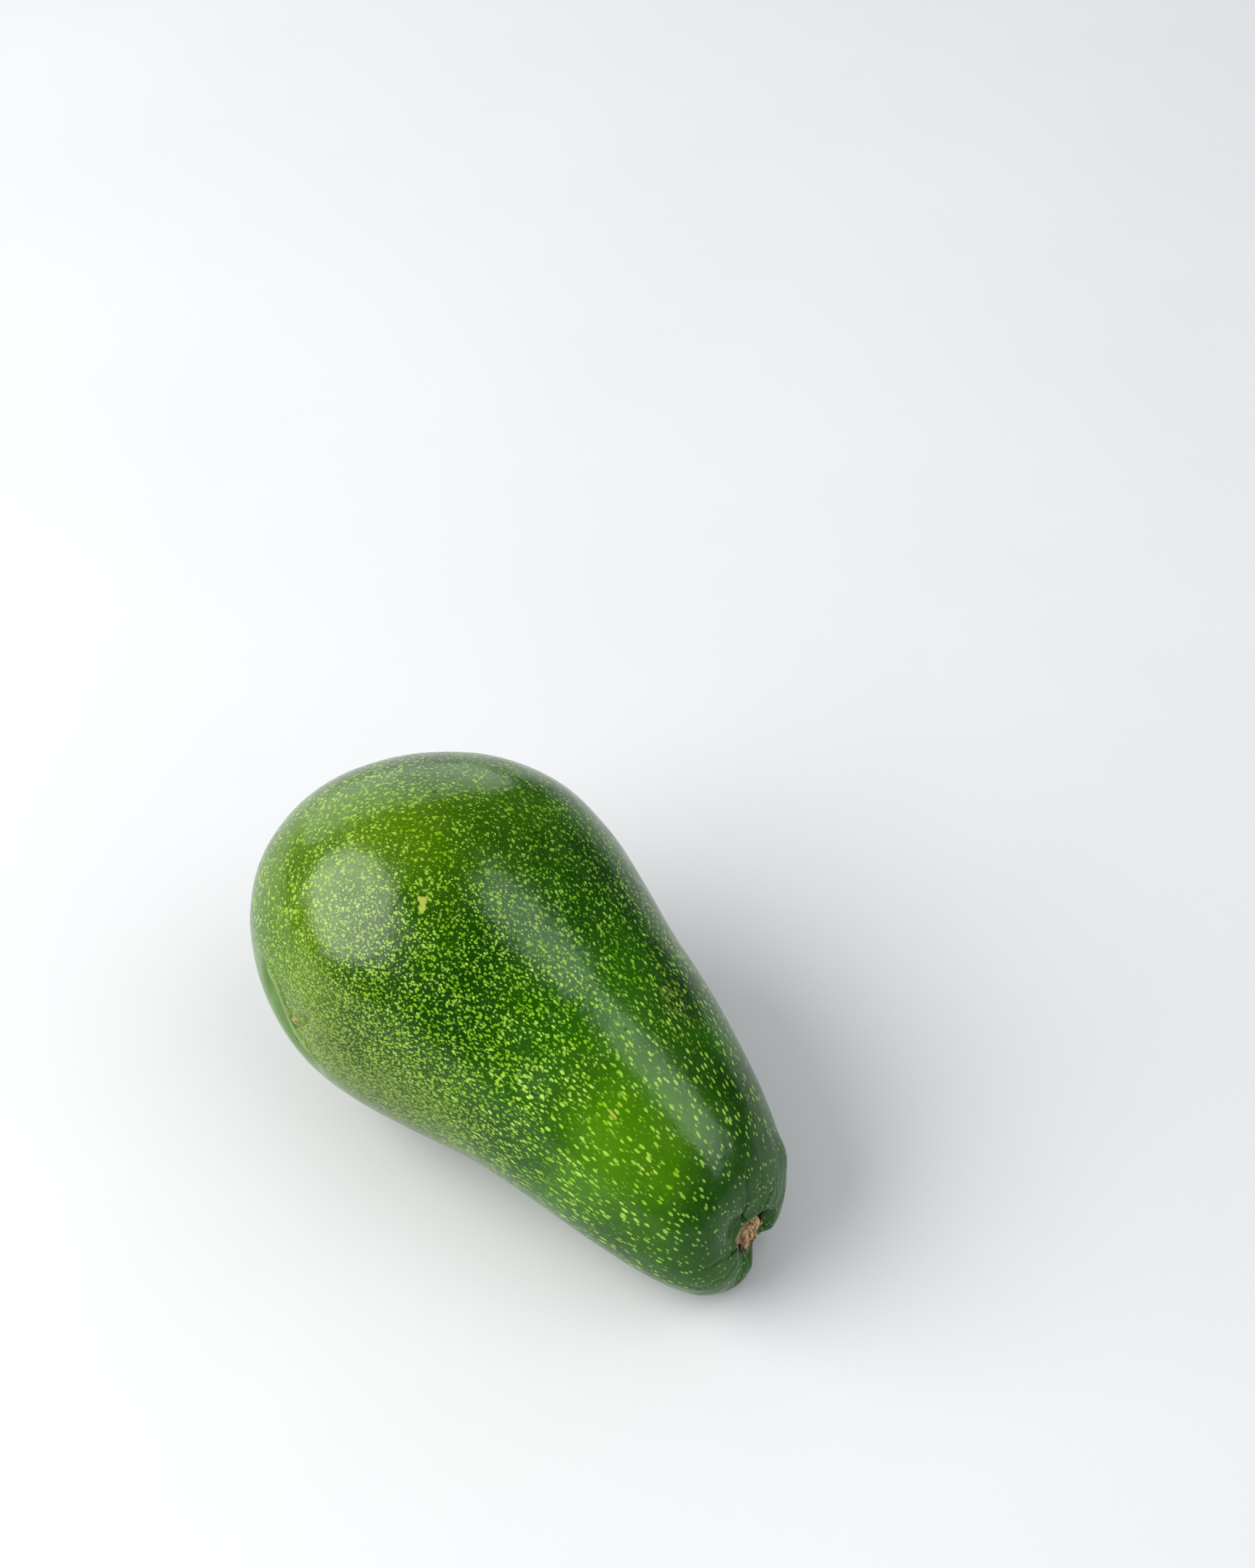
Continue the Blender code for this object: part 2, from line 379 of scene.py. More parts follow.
def scarRelief(form, station, turn):
    along, across = scarPlace(form, station * 1000, turn % 360)
    lip = np.array([scarPlace(form, at, atTurn) for at, atTurn in scar["lip"]])
    lipAcross = np.interp(along, lip[:, 0], lip[:, 1])
    span = eased((along - lip[0, 0]) / scar["lipRise"]) * eased((lip[-1, 0] - along) / scar["lipFall"])
    aside = (across - lipAcross) * scar["slant"]
    ridge = scar["lipHeight"] * hump(aside, 0, scar["lipWidth"])
    pocket = eased(aside / scar["pocketEdge"]) * hump(aside, 0, scar["pocketWidth"])
    pocket = np.where(aside > 0, pocket, 0)
    height = (ridge - scar["pocketDepth"] * pocket) * span
    pipAlong, pipAcross = scarPlace(form, *scar["pip"])
    lean = radians(scar["pipLean"])
    lengthwise = (along - pipAlong) * cos(lean) + (across - pipAcross) * sin(lean)
    sideways = (across - pipAcross) * cos(lean) - (along - pipAlong) * sin(lean)
    button = np.hypot(lengthwise / scar["pipLong"], sideways / scar["pipWide"])
    moat = scar["moatDepth"] * hump(button, scar["moatAt"], scar["moatWidth"])
    height += scar["pipHeight"] * falling(button, scar["pipFlat"], 1) - moat
    nookAlong, nookAcross = scarPlace(form, *scar["nook"])
    fromNook = np.hypot(along - nookAlong, across - nookAcross) / scar["nookRadius"]
    height -= scar["nookDepth"] * hump(fromNook, 0, 1)
    return height, button, pocket * span, ridge / scar["lipHeight"] * span


def creaseRelief(form, station, radius, turn):
    # how far the creases draw the surface in, and how deep in one each point lies, which sets the painted
    # shade in the creases
    outward = np.hypot(form["length"] - station, radius - form["crestRadius"])
    outward = np.where(radius > form["crestRadius"], outward, 0)
    atNeck = station > form["length"] - form["neckBack"]
    pastPit = rising(radius, form["pitRadius"] * stemEnd["pitMargin"], stemEnd["pitEase"])
    drawn = np.zeros(len(station))
    deep = np.zeros(len(station))
    for at, drift, start, run, width, depth in stemEnd["creases"]:
        wander = stemEnd["creaseWander"] * np.sin(outward * stemEnd["creasePace"] + at)
        aside = radius * np.radians(turnApart(turn, at + drift * outward * 1000 + wander))
        spent = rising(outward, start, run)
        fade = 1 - spent
        wide = width * (1 + stemEnd["creaseWidening"] * spent)
        groove = hump(aside, 0, wide)
        shoulder = stemEnd["shoulderShare"] * hump(aside, 0, stemEnd["shoulderWidth"] * wide)
        drawn += stemEnd["creaseStrength"] * depth * fade * pastPit * atNeck * (groove - shoulder)
        # painted shade: the deeper the crease, the darker it is drawn
        dark = min(depth / stemEnd["fullyShaded"], 1.0)
        deep = np.maximum(deep, groove * fade * pastPit * atNeck * dark)
    return drawn, deep


def kinkRelief(straight):
    # a small swelling beside the crest
    turn = radians(stemEnd["kinkTurn"])
    out = stemEnd["kinkOut"]
    middle = np.array((stemEnd["kinkStation"], out * cos(turn), out * sin(turn)))
    away = np.linalg.norm((straight - middle) * stemEnd["kinkStretch"], axis=1)
    return stemEnd["kinkHeight"] * hump(away, 0, stemEnd["kinkRadius"])


def fluteRelief(form, station, radius, turn):
    # shallow flutes that run into the neck
    ring = np.column_stack((station * stemEnd["flutePace"], np.cos(np.radians(turn)),
                            np.sin(np.radians(turn))))
    flutes = stemEnd["fluteHeight"] * rising(station, *stemEnd["fluteStart"])
    flutes = flutes * unevenness(ring, stemEnd["fluteWidth"], 3)
    return flutes * rising(radius, form["pitRadius"], stemEnd["fluteEase"])


def storeFinishes(mesh, form, straight, button, pocket, ridge, deep):
    # where each finish lies, kept with the mesh for the skin's material
    plan = skinPlan
    station = straight[:, 0]
    radius = np.hypot(straight[:, 1], straight[:, 2])
    turn = np.degrees(np.arctan2(straight[:, 2], straight[:, 1]))
    nearSide = np.abs(turnApart(turn, 180)) < scar["halfTurn"]

    # the pattern's own place, drawn out along the neck
    table = np.linspace(0, form["length"] + 0.01, 400)
    stretch = np.interp(table, *plan["grainStretch"])
    run = np.concatenate(([0.0], np.cumsum(np.diff(table) / stretch[1:])))
    storeVector(mesh, "grainPlace", np.interp(station, table, run), straight[:, 1], straight[:, 2])

    # a smooth pale band, nearly free of specks, lies under the blossom scar and along the flank
    ragged, raggedWidth = plan["bandRagged"]
    under = turnApart(turn, 0) % 360 - np.interp(station, *plan["bandEdge"])
    under = under + ragged * unevenness(straight, raggedWidth, 9)
    band = rising(under, *plan["bandRise"]) * falling(under, *plan["bandFall"])
    band = band * rising(station, *plan["bandStart"]) * falling(station, *plan["bandEnd"])
    patchy = unevenness(straight, plan["patchWidth"], 5)
    clear = 1.15 * pocket * (1 + 0.4 * patchy) + ridge + plan["bandClear"] * band
    clear = np.clip(clear, 0, 1) * nearSide

    # how much of the skin each kind of speck covers
    flank = turnHump(turn, *plan["flankTurn"])
    flank = flank * rising(station, *plan["flankStart"]) * falling(station, *plan["flankEnd"])
    belly = turnHump(turn, *plan["bellyTurn"]) * hump(station, *plan["bellyAlong"])
    fine = np.clip(flank + plan["bellyShare"] * belly, 0, 1)
    shaded = turnHump(turn, *plan["shadedTurn"])
    coarseCover = np.interp(station, *plan["coarseCover"]) * (1 + 0.35 * patchy)
    coarseCover = coarseCover * (1 - 0.70 * fine) * (1 - 0.45 * shaded) * (1 - clear)
    leastFine, moreFine = plan["fineCover"]
    fineCover = (leastFine + moreFine * fine) * np.interp(station, *plan["fineFade"]) * (1 - clear)
    dashCover = (1 - clear) * np.interp(station, *plan["dashCover"])
    storeVector(mesh, "speckling", coarseCover, fineCover, dashCover)

    # the ground colour's patches, and the scar's own colours
    olive = turnHump(turn, *plan["oliveTurn"]) * falling(station, *plan["oliveEnd"])
    olive = np.clip(0.8 * olive + 0.5 * flank, 0, 1)
    bloom = rising(station, *plan["bloomStart"])
    pipTone = np.exp(-((button / plan["pipReach"]) ** 4)) * nearSide
    storeVector(mesh, "tone", olive, bloom - ridge * nearSide, pipTone)
    pocketTone = np.clip(1.1 * pocket + 0.5 * band, 0, 1) * nearSide
    leafy = rising(station, *plan["leafStart"]) * falling(station, *plan["leafEnd"])
    leafy = leafy * turnHump(turn, *plan["leafTurn"])
    dusty = np.clip(flank - 0.6 * belly, 0, 1) * (1 - clear)
    storeVector(mesh, "scarTone", pocketTone, leafy, dusty)

    # the cork round the stem, how deep in the pit a point lies, and the creases; the depths set the painted
    # shade there
    (broadRag, broadWidth), (smallRag, smallWidth) = plan["corkRagged"]
    ragged = broadRag * unevenness(straight, broadWidth, 7) + smallRag * unevenness(straight, smallWidth, 8)
    reach = plan["corkReach"]
    for at, width, more in plan["corkSides"]:
        reach = reach + more * turnHump(turn, at, width)
    atStem = station > form["length"] - plan["corkBack"]
    cork = eased((reach + ragged - radius) / plan["corkEdge"]) * atStem
    inPit = (radius < form["crestRadius"]) * atStem
    pitDeep = eased((form["length"] - station) / form["pitDepth"]) * inPit
    storeVector(mesh, "corkAndShade", cork, pitDeep, deep)

    fleck = np.zeros(len(station))
    scuff = np.zeros(len(station))
    for at, atTurn, halfLength, halfWidth, kind in marks:
        along = (station - at) / halfLength
        across = radius * np.radians(turnApart(turn, atTurn)) / halfWidth
        spot = np.exp(-((np.hypot(along, across)) ** 4))
        if kind == "fleck":
            fleck = np.maximum(fleck, spot)
        else:
            scuff = np.maximum(scuff, spot)
    dark = turnHump(turn, *plan["darkTurn"]) * hump(station, *plan["darkAlong"])
    storeVector(mesh, "marks", fleck, scuff, dark)


def makeFruit(form):
    bm = spunBody(spaced(fruitOutline(form), form), form["turnSteps"])
    scarMiddle = Vector((scar["middle"], -form["bulbWidth"] / 2, 0.0))
    nearScar = {v for v in bm.verts if (v.co - scarMiddle).length < scar["reach"]}
    finer = [e for e in bm.edges if e.verts[0] in nearScar and e.verts[1] in nearScar]
    bmesh.ops.subdivide_edges(bm, edges=finer, cuts=2, use_grid_fill=True)
    bmesh.ops.recalc_face_normals(bm, faces=bm.faces)
    mesh = bpy.data.meshes.new("avocadoFruit")
    bm.to_mesh(mesh)
    bm.free()

    # from the straight form to the fruit as it grew, resting on the table
    straight = pointsOf(mesh)
    skin = grown(straight, form)
    tilt = restingTilt(skin, form)
    skin = tilted(skin, tilt)
    low, high = (np.array(corner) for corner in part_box("fruit"))
    shift = (low + high) / 2 - (skin.min(axis=0) + skin.max(axis=0)) / 2
    shift[2] = -skin[:, 2].min() - form["footDepth"]
    setPoints(mesh, skin + shift)

    # slow waves, flutes, the kink, the creases and the blossom scar
    station = straight[:, 0]
    radius = np.hypot(straight[:, 1], straight[:, 2])
    turn = np.degrees(np.arctan2(straight[:, 2], straight[:, 1]))
    (slowHeight, slowWidth), (quickHeight, quickWidth) = form["waves"]
    waves = slowHeight * unevenness(straight, slowWidth, 1)
    waves = waves + quickHeight * unevenness(straight, quickWidth, 2)
    drawn, deep = creaseRelief(form, station, radius, turn)
    relief, button, pocket, ridge = scarRelief(form, station, turn)
    relief = np.where(np.abs(turnApart(turn, 180)) < scar["halfTurn"], relief, 0)
    height = waves + fluteRelief(form, station, radius, turn) + kinkRelief(straight) - drawn + relief
    skin = pointsOf(mesh) + normalsOf(mesh) * height[:, None]
    skin[:, 2] = np.maximum(skin[:, 2], 0.0)
    setPoints(mesh, skin)
    storeFinishes(mesh, form, straight, button, pocket, ridge, deep)
    return mesh, tilt, shift


fruitMesh, restTilt, restShift = makeFruit(fruitForm)
fruit = bpy.data.objects.new("avocadoFruit", fruitMesh)
bpy.context.scene.collection.objects.link(fruit)
fruitMesh.shade_smooth()
print("avocado: fruit has", len(fruitMesh.polygons), "faces")

# Ranges are the least and the most of a strand or a splinter
stubForm = {
    "radius": 0.0036,
    "taper": 0.90,
    "seat": 0.1253,
    "top": 0.1287,
    "steps": 110,
    "rings": 26,
    "topRings": 24,
    "lie": 78,  # the way its torn strands lie, in degrees
    "fibreDepth": 0.00030,
    "strandDepth": 0.00050,
    "blockHeight": 0.0010,
    "lumpWidth": 0.0020,
    "hole": (0.0022, 0.0010, 0.00075, 0.0020),  # across, along, half width, depth
    "gap": (-0.0023, -0.0010, 0.00050, 0.0015),
    "slitLength": 2.6,  # of the hole and the gap, in half widths
    "strands": 22,
    "strandAcross": (-0.75, 0.75),
    "strandAlong": (-0.6, 0.5),
    "strandLift": (-0.0003, 0.0004),
    "strandSpread": (-0.25, 0.25),
    "strandBend": (-0.22, 0.22),
    "strandThick": (0.00014, 0.00032),
    "strandLong": (0.0014, 0.0036),
    "splinters": 11,
    "splinterStray": (-0.35, 0.35),
    "splinterTall": (0.0018, 0.0036),
    "splinterOut": (0.85, 1.06),
    "splinterRaise": 0.0004,
    "splinterLean": (-0.2, 0.2),
    "splinterThick": (0.00025, 0.00050),
}


def addSliver(bm, place, tilt, thick, long):
    made = bmesh.ops.create_cone(bm, cap_ends=True, segments=7, radius1=thick, radius2=thick * 0.25,
                                 depth=long, matrix=place @ tilt)
    rim = [e for v in made["verts"] for e in v.link_edges]
    bmesh.ops.subdivide_edges(bm, edges=list(dict.fromkeys(rim)), cuts=3, use_grid_fill=True)


def addStrands(bm, form):
    # loose strands lie over the broken end, and splinters stand between it and the wall
    rng = np.random.default_rng(12)
    radius = form["radius"]
    lie = radians(form["lie"])
    for _ in range(form["strands"]):
        across = rng.uniform(*form["strandAcross"]) * radius
        along = rng.uniform(*form["strandAlong"]) * radius
        place = Matrix.Translation((form["top"] + rng.uniform(*form["strandLift"]),
                                    across * sin(lie) + along * cos(lie),
                                    along * sin(lie) - across * cos(lie)))
        spread = Matrix.Rotation(rng.uniform(*form["strandSpread"]) + lie - pi / 2, 4, "X")
        bend = spread @ Matrix.Rotation(rng.uniform(*form["strandBend"]), 4, "Y")
        thick = rng.uniform(*form["strandThick"])
        addSliver(bm, place, bend, thick, rng.uniform(*form["strandLong"]))
    for k in range(form["splinters"]):
        turn = 2 * pi * (k + rng.uniform(*form["splinterStray"])) / form["splinters"]
        tall = rng.uniform(*form["splinterTall"])
        away = radius * rng.uniform(*form["splinterOut"])
        middle = form["seat"] + form["splinterRaise"] + tall / 2
        place = Matrix.Translation((middle, away * cos(turn), away * sin(turn)))
        lean = Matrix.Rotation(rng.uniform(*form["splinterLean"]), 4, "Z")
        upright = lean @ Matrix.Rotation(pi / 2, 4, "Y")
        addSliver(bm, place, upright, rng.uniform(*form["splinterThick"]), tall)


def makeStub(form, fruit, tilt, shift):
    radius = form["radius"]
    seat = form["seat"]
    top = form["top"]
    rings = form["rings"]
    outline = [(seat, radius * share) for share in (0.0, 0.25, 0.5, 0.75)]
    outline += [(seat + (top - seat) * k / rings, radius * (1 - (1 - form["taper"]) * k / rings))
                for k in range(rings + 1)]
    outline += [(top, radius * form["taper"] * (1 - k / form["topRings"]))
                for k in range(1, form["topRings"] + 1)]
    bm = spunBody([Vector((x, 0.0, r)) for x, r in outline], form["steps"])
    addStrands(bm, form)
    bmesh.ops.recalc_face_normals(bm, faces=bm.faces)
    mesh = bpy.data.meshes.new("driedStub")
    bm.to_mesh(mesh)
    bm.free()

    # fibres down the side, and torn strands, a raised block and two slits on the end
    straight = pointsOf(mesh)
    x, y, z = straight.T
    lie = radians(form["lie"])
    out = np.hypot(y, z)
    across = y * sin(lie) - z * cos(lie)
    along = y * cos(lie) + z * sin(lie)
    share = eased((x - seat) / (top - seat))
    strandPlace = np.column_stack((x * 0.5, across, along * 0.22))
    strands = unevenness(strandPlace, 0.00080, 11) + 0.6 * unevenness(strandPlace, 0.00036, 12)
    lumps = unevenness(np.column_stack((x * 0, across, along)), form["lumpWidth"], 13)
    block = form["blockHeight"] * (eased(along / 0.0030 + 0.5) - 0.6 + 0.5 * lumps)
    sunk = np.zeros(len(x))
    for aside, up, wide, deep in (form["hole"], form["gap"]):
        slit = -((across - aside) / wide) ** 2 - ((along - up) / (form["slitLength"] * wide)) ** 2
        sunk += deep * np.exp(slit)
    x = x + share * (block + form["strandDepth"] * strands - sunk)
    push = form["fibreDepth"] * strands * eased(out / 0.0010)
    swell = 1 + push / np.maximum(out, 1e-5)
    stub = tilted(grown(np.column_stack((x, y * swell, z * swell)), fruit), tilt) + shift
    setPoints(mesh, stub)
    storeVector(mesh, "fibre", across, along * 0.16, straight[:, 0] * 0.5)
    # the torn end's height, strands and slits, which also place the painted shade
    storeVector(mesh, "torn", share, np.clip(strands * 0.5 + 0.5, 0, 1), np.clip(sunk / 0.0012, 0, 1))
    return mesh


stubMesh = makeStub(stubForm, fruitForm, restTilt, restShift)
stub = bpy.data.objects.new("driedStub", stubMesh)
bpy.context.scene.collection.objects.link(stub)
stubMesh.shade_smooth()
print("avocado: stub has", len(stubMesh.polygons), "faces")


def addNode(material, kind, **settings):
    node = material.node_tree.nodes.new("ShaderNode" + kind)
    for name, value in settings.items():
        if isinstance(value, dict):
            for socket, given in value.items():
                setSocket(material, node, socket, given)
        else:
            setattr(node, name, value)
    return node


def setSocket(material, node, socket, given):
    target = node.inputs[socket]
    if isinstance(given, bpy.types.NodeSocket):
        material.node_tree.links.new(given, target)
    else:
        target.default_value = given


def stored(material, name):
    # the three values that the mesh keeps under this name
    vector = addNode(material, "Attribute", attribute_name=name).outputs["Vector"]
    return addNode(material, "SeparateXYZ", put={0: vector}).outputs


def math(material, operation, first, second, clamp=False):
    node = addNode(material, "Math", operation=operation, use_clamp=clamp, put={0: first, 1: second})
    return node.outputs[0]


def times(material, first, second, clamp=False):
    return math(material, "MULTIPLY", first, second, clamp)


def plus(material, first, second, clamp=False):
    return math(material, "ADD", first, second, clamp)


def vectorMath(material, operation, first, second=(0, 0, 0), scale=1.0):
    node = addNode(material, "VectorMath", operation=operation)
    setSocket(material, node, 0, first)
    if operation == "SCALE":
        setSocket(material, node, "Scale", scale)
    else:
        setSocket(material, node, 1, second)
    return node.outputs[0]


def mixColour(material, share, under, over):
    node = addNode(material, "Mix", data_type="RGBA", blend_type="MIX")
    setSocket(material, node, 0, share)
    setSocket(material, node, 6, under)
    setSocket(material, node, 7, over)
    return node.outputs[2]


def ranged(material, value, low, high, toLow=0.0, toHigh=1.0, soft=True):
    node = addNode(material, "MapRange", interpolation_type="SMOOTHSTEP" if soft else "LINEAR")
    for socket, given in zip(("Value", "From Min", "From Max", "To Min", "To Max"),
                             (value, low, high, toLow, toHigh)):
        setSocket(material, node, socket, given)
    return node.outputs[0]


def noiseAt(material, place, size, detail=3.0, roughness=0.55, distortion=0.0):
    settings = {"Vector": place, "Scale": 1 / size, "Detail": detail, "Roughness": roughness,
                "Distortion": distortion}
    return addNode(material, "TexNoise", put=settings).outputs


def specksAt(material, place, cover, size, variety):
    # islands round scattered points: the share of the room that they cover sets how large they are
    cells = addNode(material, "TexVoronoi", feature="F1",
                    put={"Vector": place, "Scale": 1 / size, "Randomness": 1.0})
    draw = addNode(material, "SeparateColor", put={0: cells.outputs["Color"]}).outputs
    ballShare = 0.2387  # 3 / (4 pi), from a ball's volume to its radius
    reach = math(material, "POWER", times(material, cover, ballShare), 0.3333)
    reach = times(material, reach, ranged(material, draw[0], 0, 1, 1 - variety, 1 + variety, soft=False))
    inside = math(material, "SUBTRACT", reach, cells.outputs["Distance"])
    return inside, draw


def newMaterial(name):
    made = bpy.data.materials.new(name)
    made.use_nodes = True
    return made, made.node_tree.nodes["Principled BSDF"]


def finishShader(material, shader, colour, roughness, bump):
    links = material.node_tree.links
    links.new(colour, shader.inputs["Base Color"])
    links.new(bump.outputs[0], shader.inputs["Normal"])
    if roughness is not None:
        links.new(roughness, shader.inputs["Roughness"])


# Specks are a size and how much it varies, and sizes are in metres
skinFinish = {
    "deepGreen": (0.0045, 0.040, 0.0003, 1),
    "midGreen": (0.019, 0.092, 0.0004, 1),
    "leafGreen": (0.060, 0.160, 0.0005, 1),
    "oliveGreen": (0.075, 0.130, 0.0010, 1),
    "bloomGreen": (0.020, 0.078, 0.0035, 1),
    "speckLight": (0.29, 0.44, 0.055, 1),
    "speckGreen": (0.17, 0.33, 0.006, 1),
    "speckDim": (0.16, 0.30, 0.050, 1),
    "dust": (0.26, 0.325, 0.075, 1),
    "fleck": (0.28, 0.31, 0.055, 1),
    "scuff": (0.26, 0.25, 0.09, 1),
    "corkTan": (0.48, 0.36, 0.20, 1),
    "corkBrown": (0.17, 0.11, 0.045, 1),
    # a near-black painted shade deep in the stem pit
    "pitShade": (0.020, 0.012, 0.006, 1),
    "pocket": (0.070, 0.150, 0.022, 1),
    "ridge": (0.165, 0.225, 0.090, 1),
    "pip": (0.36, 0.33, 0.17, 1),
    "mottleSize": 0.022,
    "smallMottleSize": 0.0050,
    "wobbleSize": 0.00075,
    "wobble": 0.0010,
    "dashWobble": 0.35,  # as a share of the crumbs' wobble
    "crumbs": (0.00096, 0.34),
    "dashes": (0.00094, 0.30),
    "fines": (0.00064, 0.30),
    "dustGrains": (0.00050, 0.3),
    "dustCover": 0.30,
    "nicks": (0.0060, 0.6),
    "nickCover": 0.0012,
    "streakSize": 0.00075,
    "corkGrain": 0.0007,
    "pipGrain": 0.00035,
    "pebbleSize": 0.0012,
    "dimpleSize": 0.0034,
    "bumpStrength": 0.6,
    "bumpDepth": 0.00018,
    "roughness": 0.175,
    "refraction": 1.5,
    "specular": 0.42,
}


def skinMaterial(look):
    made, shader = newMaterial("avocadoSkin")
    place = addNode(made, "TexCoord").outputs["Object"]
    grain = addNode(made, "Attribute", attribute_name="grainPlace").outputs["Vector"]
    coarseCover, fineCover, dashCover = stored(made, "speckling")
    olive, bloom, pipTone = stored(made, "tone")
    cork, pitDeep, creaseShade = stored(made, "corkAndShade")
    pocket, leafy, dusty = stored(made, "scarTone")
    fleck, scuff, darkPatch = stored(made, "marks")

    # ground colour: mottled deep and mid green, more olive on the bulb, greyer near the stem
    broad = noiseAt(made, place, look["mottleSize"], 3.0, 0.5)["Fac"]
    small = noiseAt(made, place, look["smallMottleSize"], 4.0, 0.6)["Fac"]
    ground = mixColour(made, ranged(made, broad, 0.38, 0.66), look["deepGreen"], look["midGreen"])
    ground = mixColour(made, ranged(made, small, 0.35, 0.75, 0.0, 0.55), ground, look["midGreen"])
    leafShare = times(made, leafy, ranged(made, broad, 0.25, 0.70, 0.45, 1.0))
    ground = mixColour(made, leafShare, ground, look["leafGreen"])
    oliveShare = times(made, olive, ranged(made, broad, 0.30, 0.70, 0.35, 1.0))
    ground = mixColour(made, oliveShare, ground, look["oliveGreen"])
    ground = mixColour(made, times(made, darkPatch, 0.75), ground, look["deepGreen"])
    bloomShare = times(made, bloom, ranged(made, small, 0.3, 0.7, 0.35, 0.75))
    ground = mixColour(made, bloomShare, ground, look["bloomGreen"])

    # specks: coarse crumbs, dashes drawn out along the neck, and fine ones on the near flank
    wobble = noiseAt(made, grain, look["wobbleSize"], 3.0, 0.65)["Color"]
    wobble = vectorMath(made, "SUBTRACT", wobble, (0.5, 0.5, 0.5))
    wobble = vectorMath(made, "SCALE", wobble, scale=look["wobble"])
    bent = vectorMath(made, "ADD", grain, wobble)
    crumbs, crumbDraw = specksAt(made, bent, coarseCover, *look["crumbs"])
    drawnOut = vectorMath(made, "SCALE", wobble, scale=look["dashWobble"])
    drawnOut = vectorMath(made, "ADD", grain, drawnOut)
    dashPlace = vectorMath(made, "ADD", drawnOut, (0.0, 0.05, 0.02))
    dashes, _ = specksAt(made, dashPlace, dashCover, *look["dashes"])
    fines, _ = specksAt(made, bent, fineCover, *look["fines"])
    crumbShare = ranged(made, crumbs, -0.08, 0.16, 0.0, 0.72)
    crumbShare = math(made, "MAXIMUM", crumbShare, ranged(made, dashes, -0.06, 0.09))
    fineShare = ranged(made, fines, -0.09, 0.15, 0.0, 0.85)

    # specks are duller on the dusty flank, and stand out on the dark patch
    muted = ranged(made, dusty, 0.1, 1.0, 1.0, 0.62)
    muted = times(made, muted, ranged(made, darkPatch, 0.3, 0.9, 1.0, 1.0 / 0.70), clamp=True)
    speckTone = mixColour(made, ranged(made, small, 0.35, 0.65), look["speckGreen"], look["speckLight"])
    speckTone = mixColour(made, ranged(made, dusty, 0.2, 1.0, 0.0, 0.8), speckTone, look["dust"])
    speckTone = mixColour(made, bloom, speckTone, look["speckDim"])
    greener = ranged(made, crumbDraw[1], 0.1, 0.9, 0.0, 0.6)
    fineTone = mixColour(made, greener, speckTone, look["speckGreen"])
    colour = mixColour(made, times(made, fineShare, muted), ground, fineTone)
    colour = mixColour(made, times(made, crumbShare, muted), colour, speckTone)

    # the blossom scar's pocket, then its ridge, which the mesh keeps as a bloom below zero
    colour = mixColour(made, times(made, pocket, 0.85, clamp=True), colour, look["pocket"])
    colour = mixColour(made, ranged(made, bloom, -0.1, -0.9), colour, look["ridge"])

    # a dusting of very fine pale grains towards the blossom scar
    dust, _ = specksAt(made, bent, times(made, dusty, look["dustCover"]), *look["dustGrains"])
    dustShare = times(made, ranged(made, dust, -0.08, 0.10), 0.55)
    colour = mixColour(made, dustShare, colour, look["dust"])

    # a few larger tan flecks, scuffs broken into fine tan streaks, and tiny dark pits
    fleckEdge = plus(made, fleck, times(made, small, 0.5))
    colour = mixColour(made, ranged(made, fleckEdge, 0.60, 0.85), colour, look["fleck"])
    streakPlace = vectorMath(made, "MULTIPLY", place, (0.35, 1.0, 1.0))
    streaks = noiseAt(made, streakPlace, look["streakSize"], 4.0, 0.65)["Fac"]
    scuffed = times(made, scuff, ranged(made, streaks, 0.50, 0.62))
    colour = mixColour(made, times(made, scuffed, 0.6), colour, look["scuff"])
    nickPlace = vectorMath(made, "ADD", bent, (0.031, 0.017, 0.023))
    nicks, _ = specksAt(made, nickPlace, look["nickCover"], *look["nicks"])
    nickShare = ranged(made, nicks, -0.02, 0.03)
    colour = mixColour(made, times(made, nickShare, 0.8), colour, look["deepGreen"])

    # the stem end: painted shade darkens the creases, then the cork goes from tan at the lip to brown, and
    # painted shade takes it to near black deep in the pit
    colour = mixColour(made, times(made, creaseShade, 0.5), colour, look["deepGreen"])
    corkGrain = noiseAt(made, place, look["corkGrain"], 4.0, 0.65)["Fac"]
    corkColour = mixColour(made, ranged(made, corkGrain, 0.35, 0.65), look["corkBrown"], look["corkTan"])
    corkColour = mixColour(made, ranged(made, pitDeep, 0.02, 0.20), corkColour, look["corkBrown"])
    # painted shade: deeper in the pit the cork goes to near black
    corkColour = mixColour(made, ranged(made, pitDeep, 0.15, 0.60), corkColour, look["pitShade"])
    colour = mixColour(made, cork, colour, corkColour)
    pipGrain = noiseAt(made, place, look["pipGrain"], 3.0, 0.6)["Fac"]
    pipColour = mixColour(made, ranged(made, pipGrain, 0.4, 0.65), look["corkBrown"], look["pip"])
    colour = mixColour(made, times(made, pipTone, 0.8), colour, pipColour)

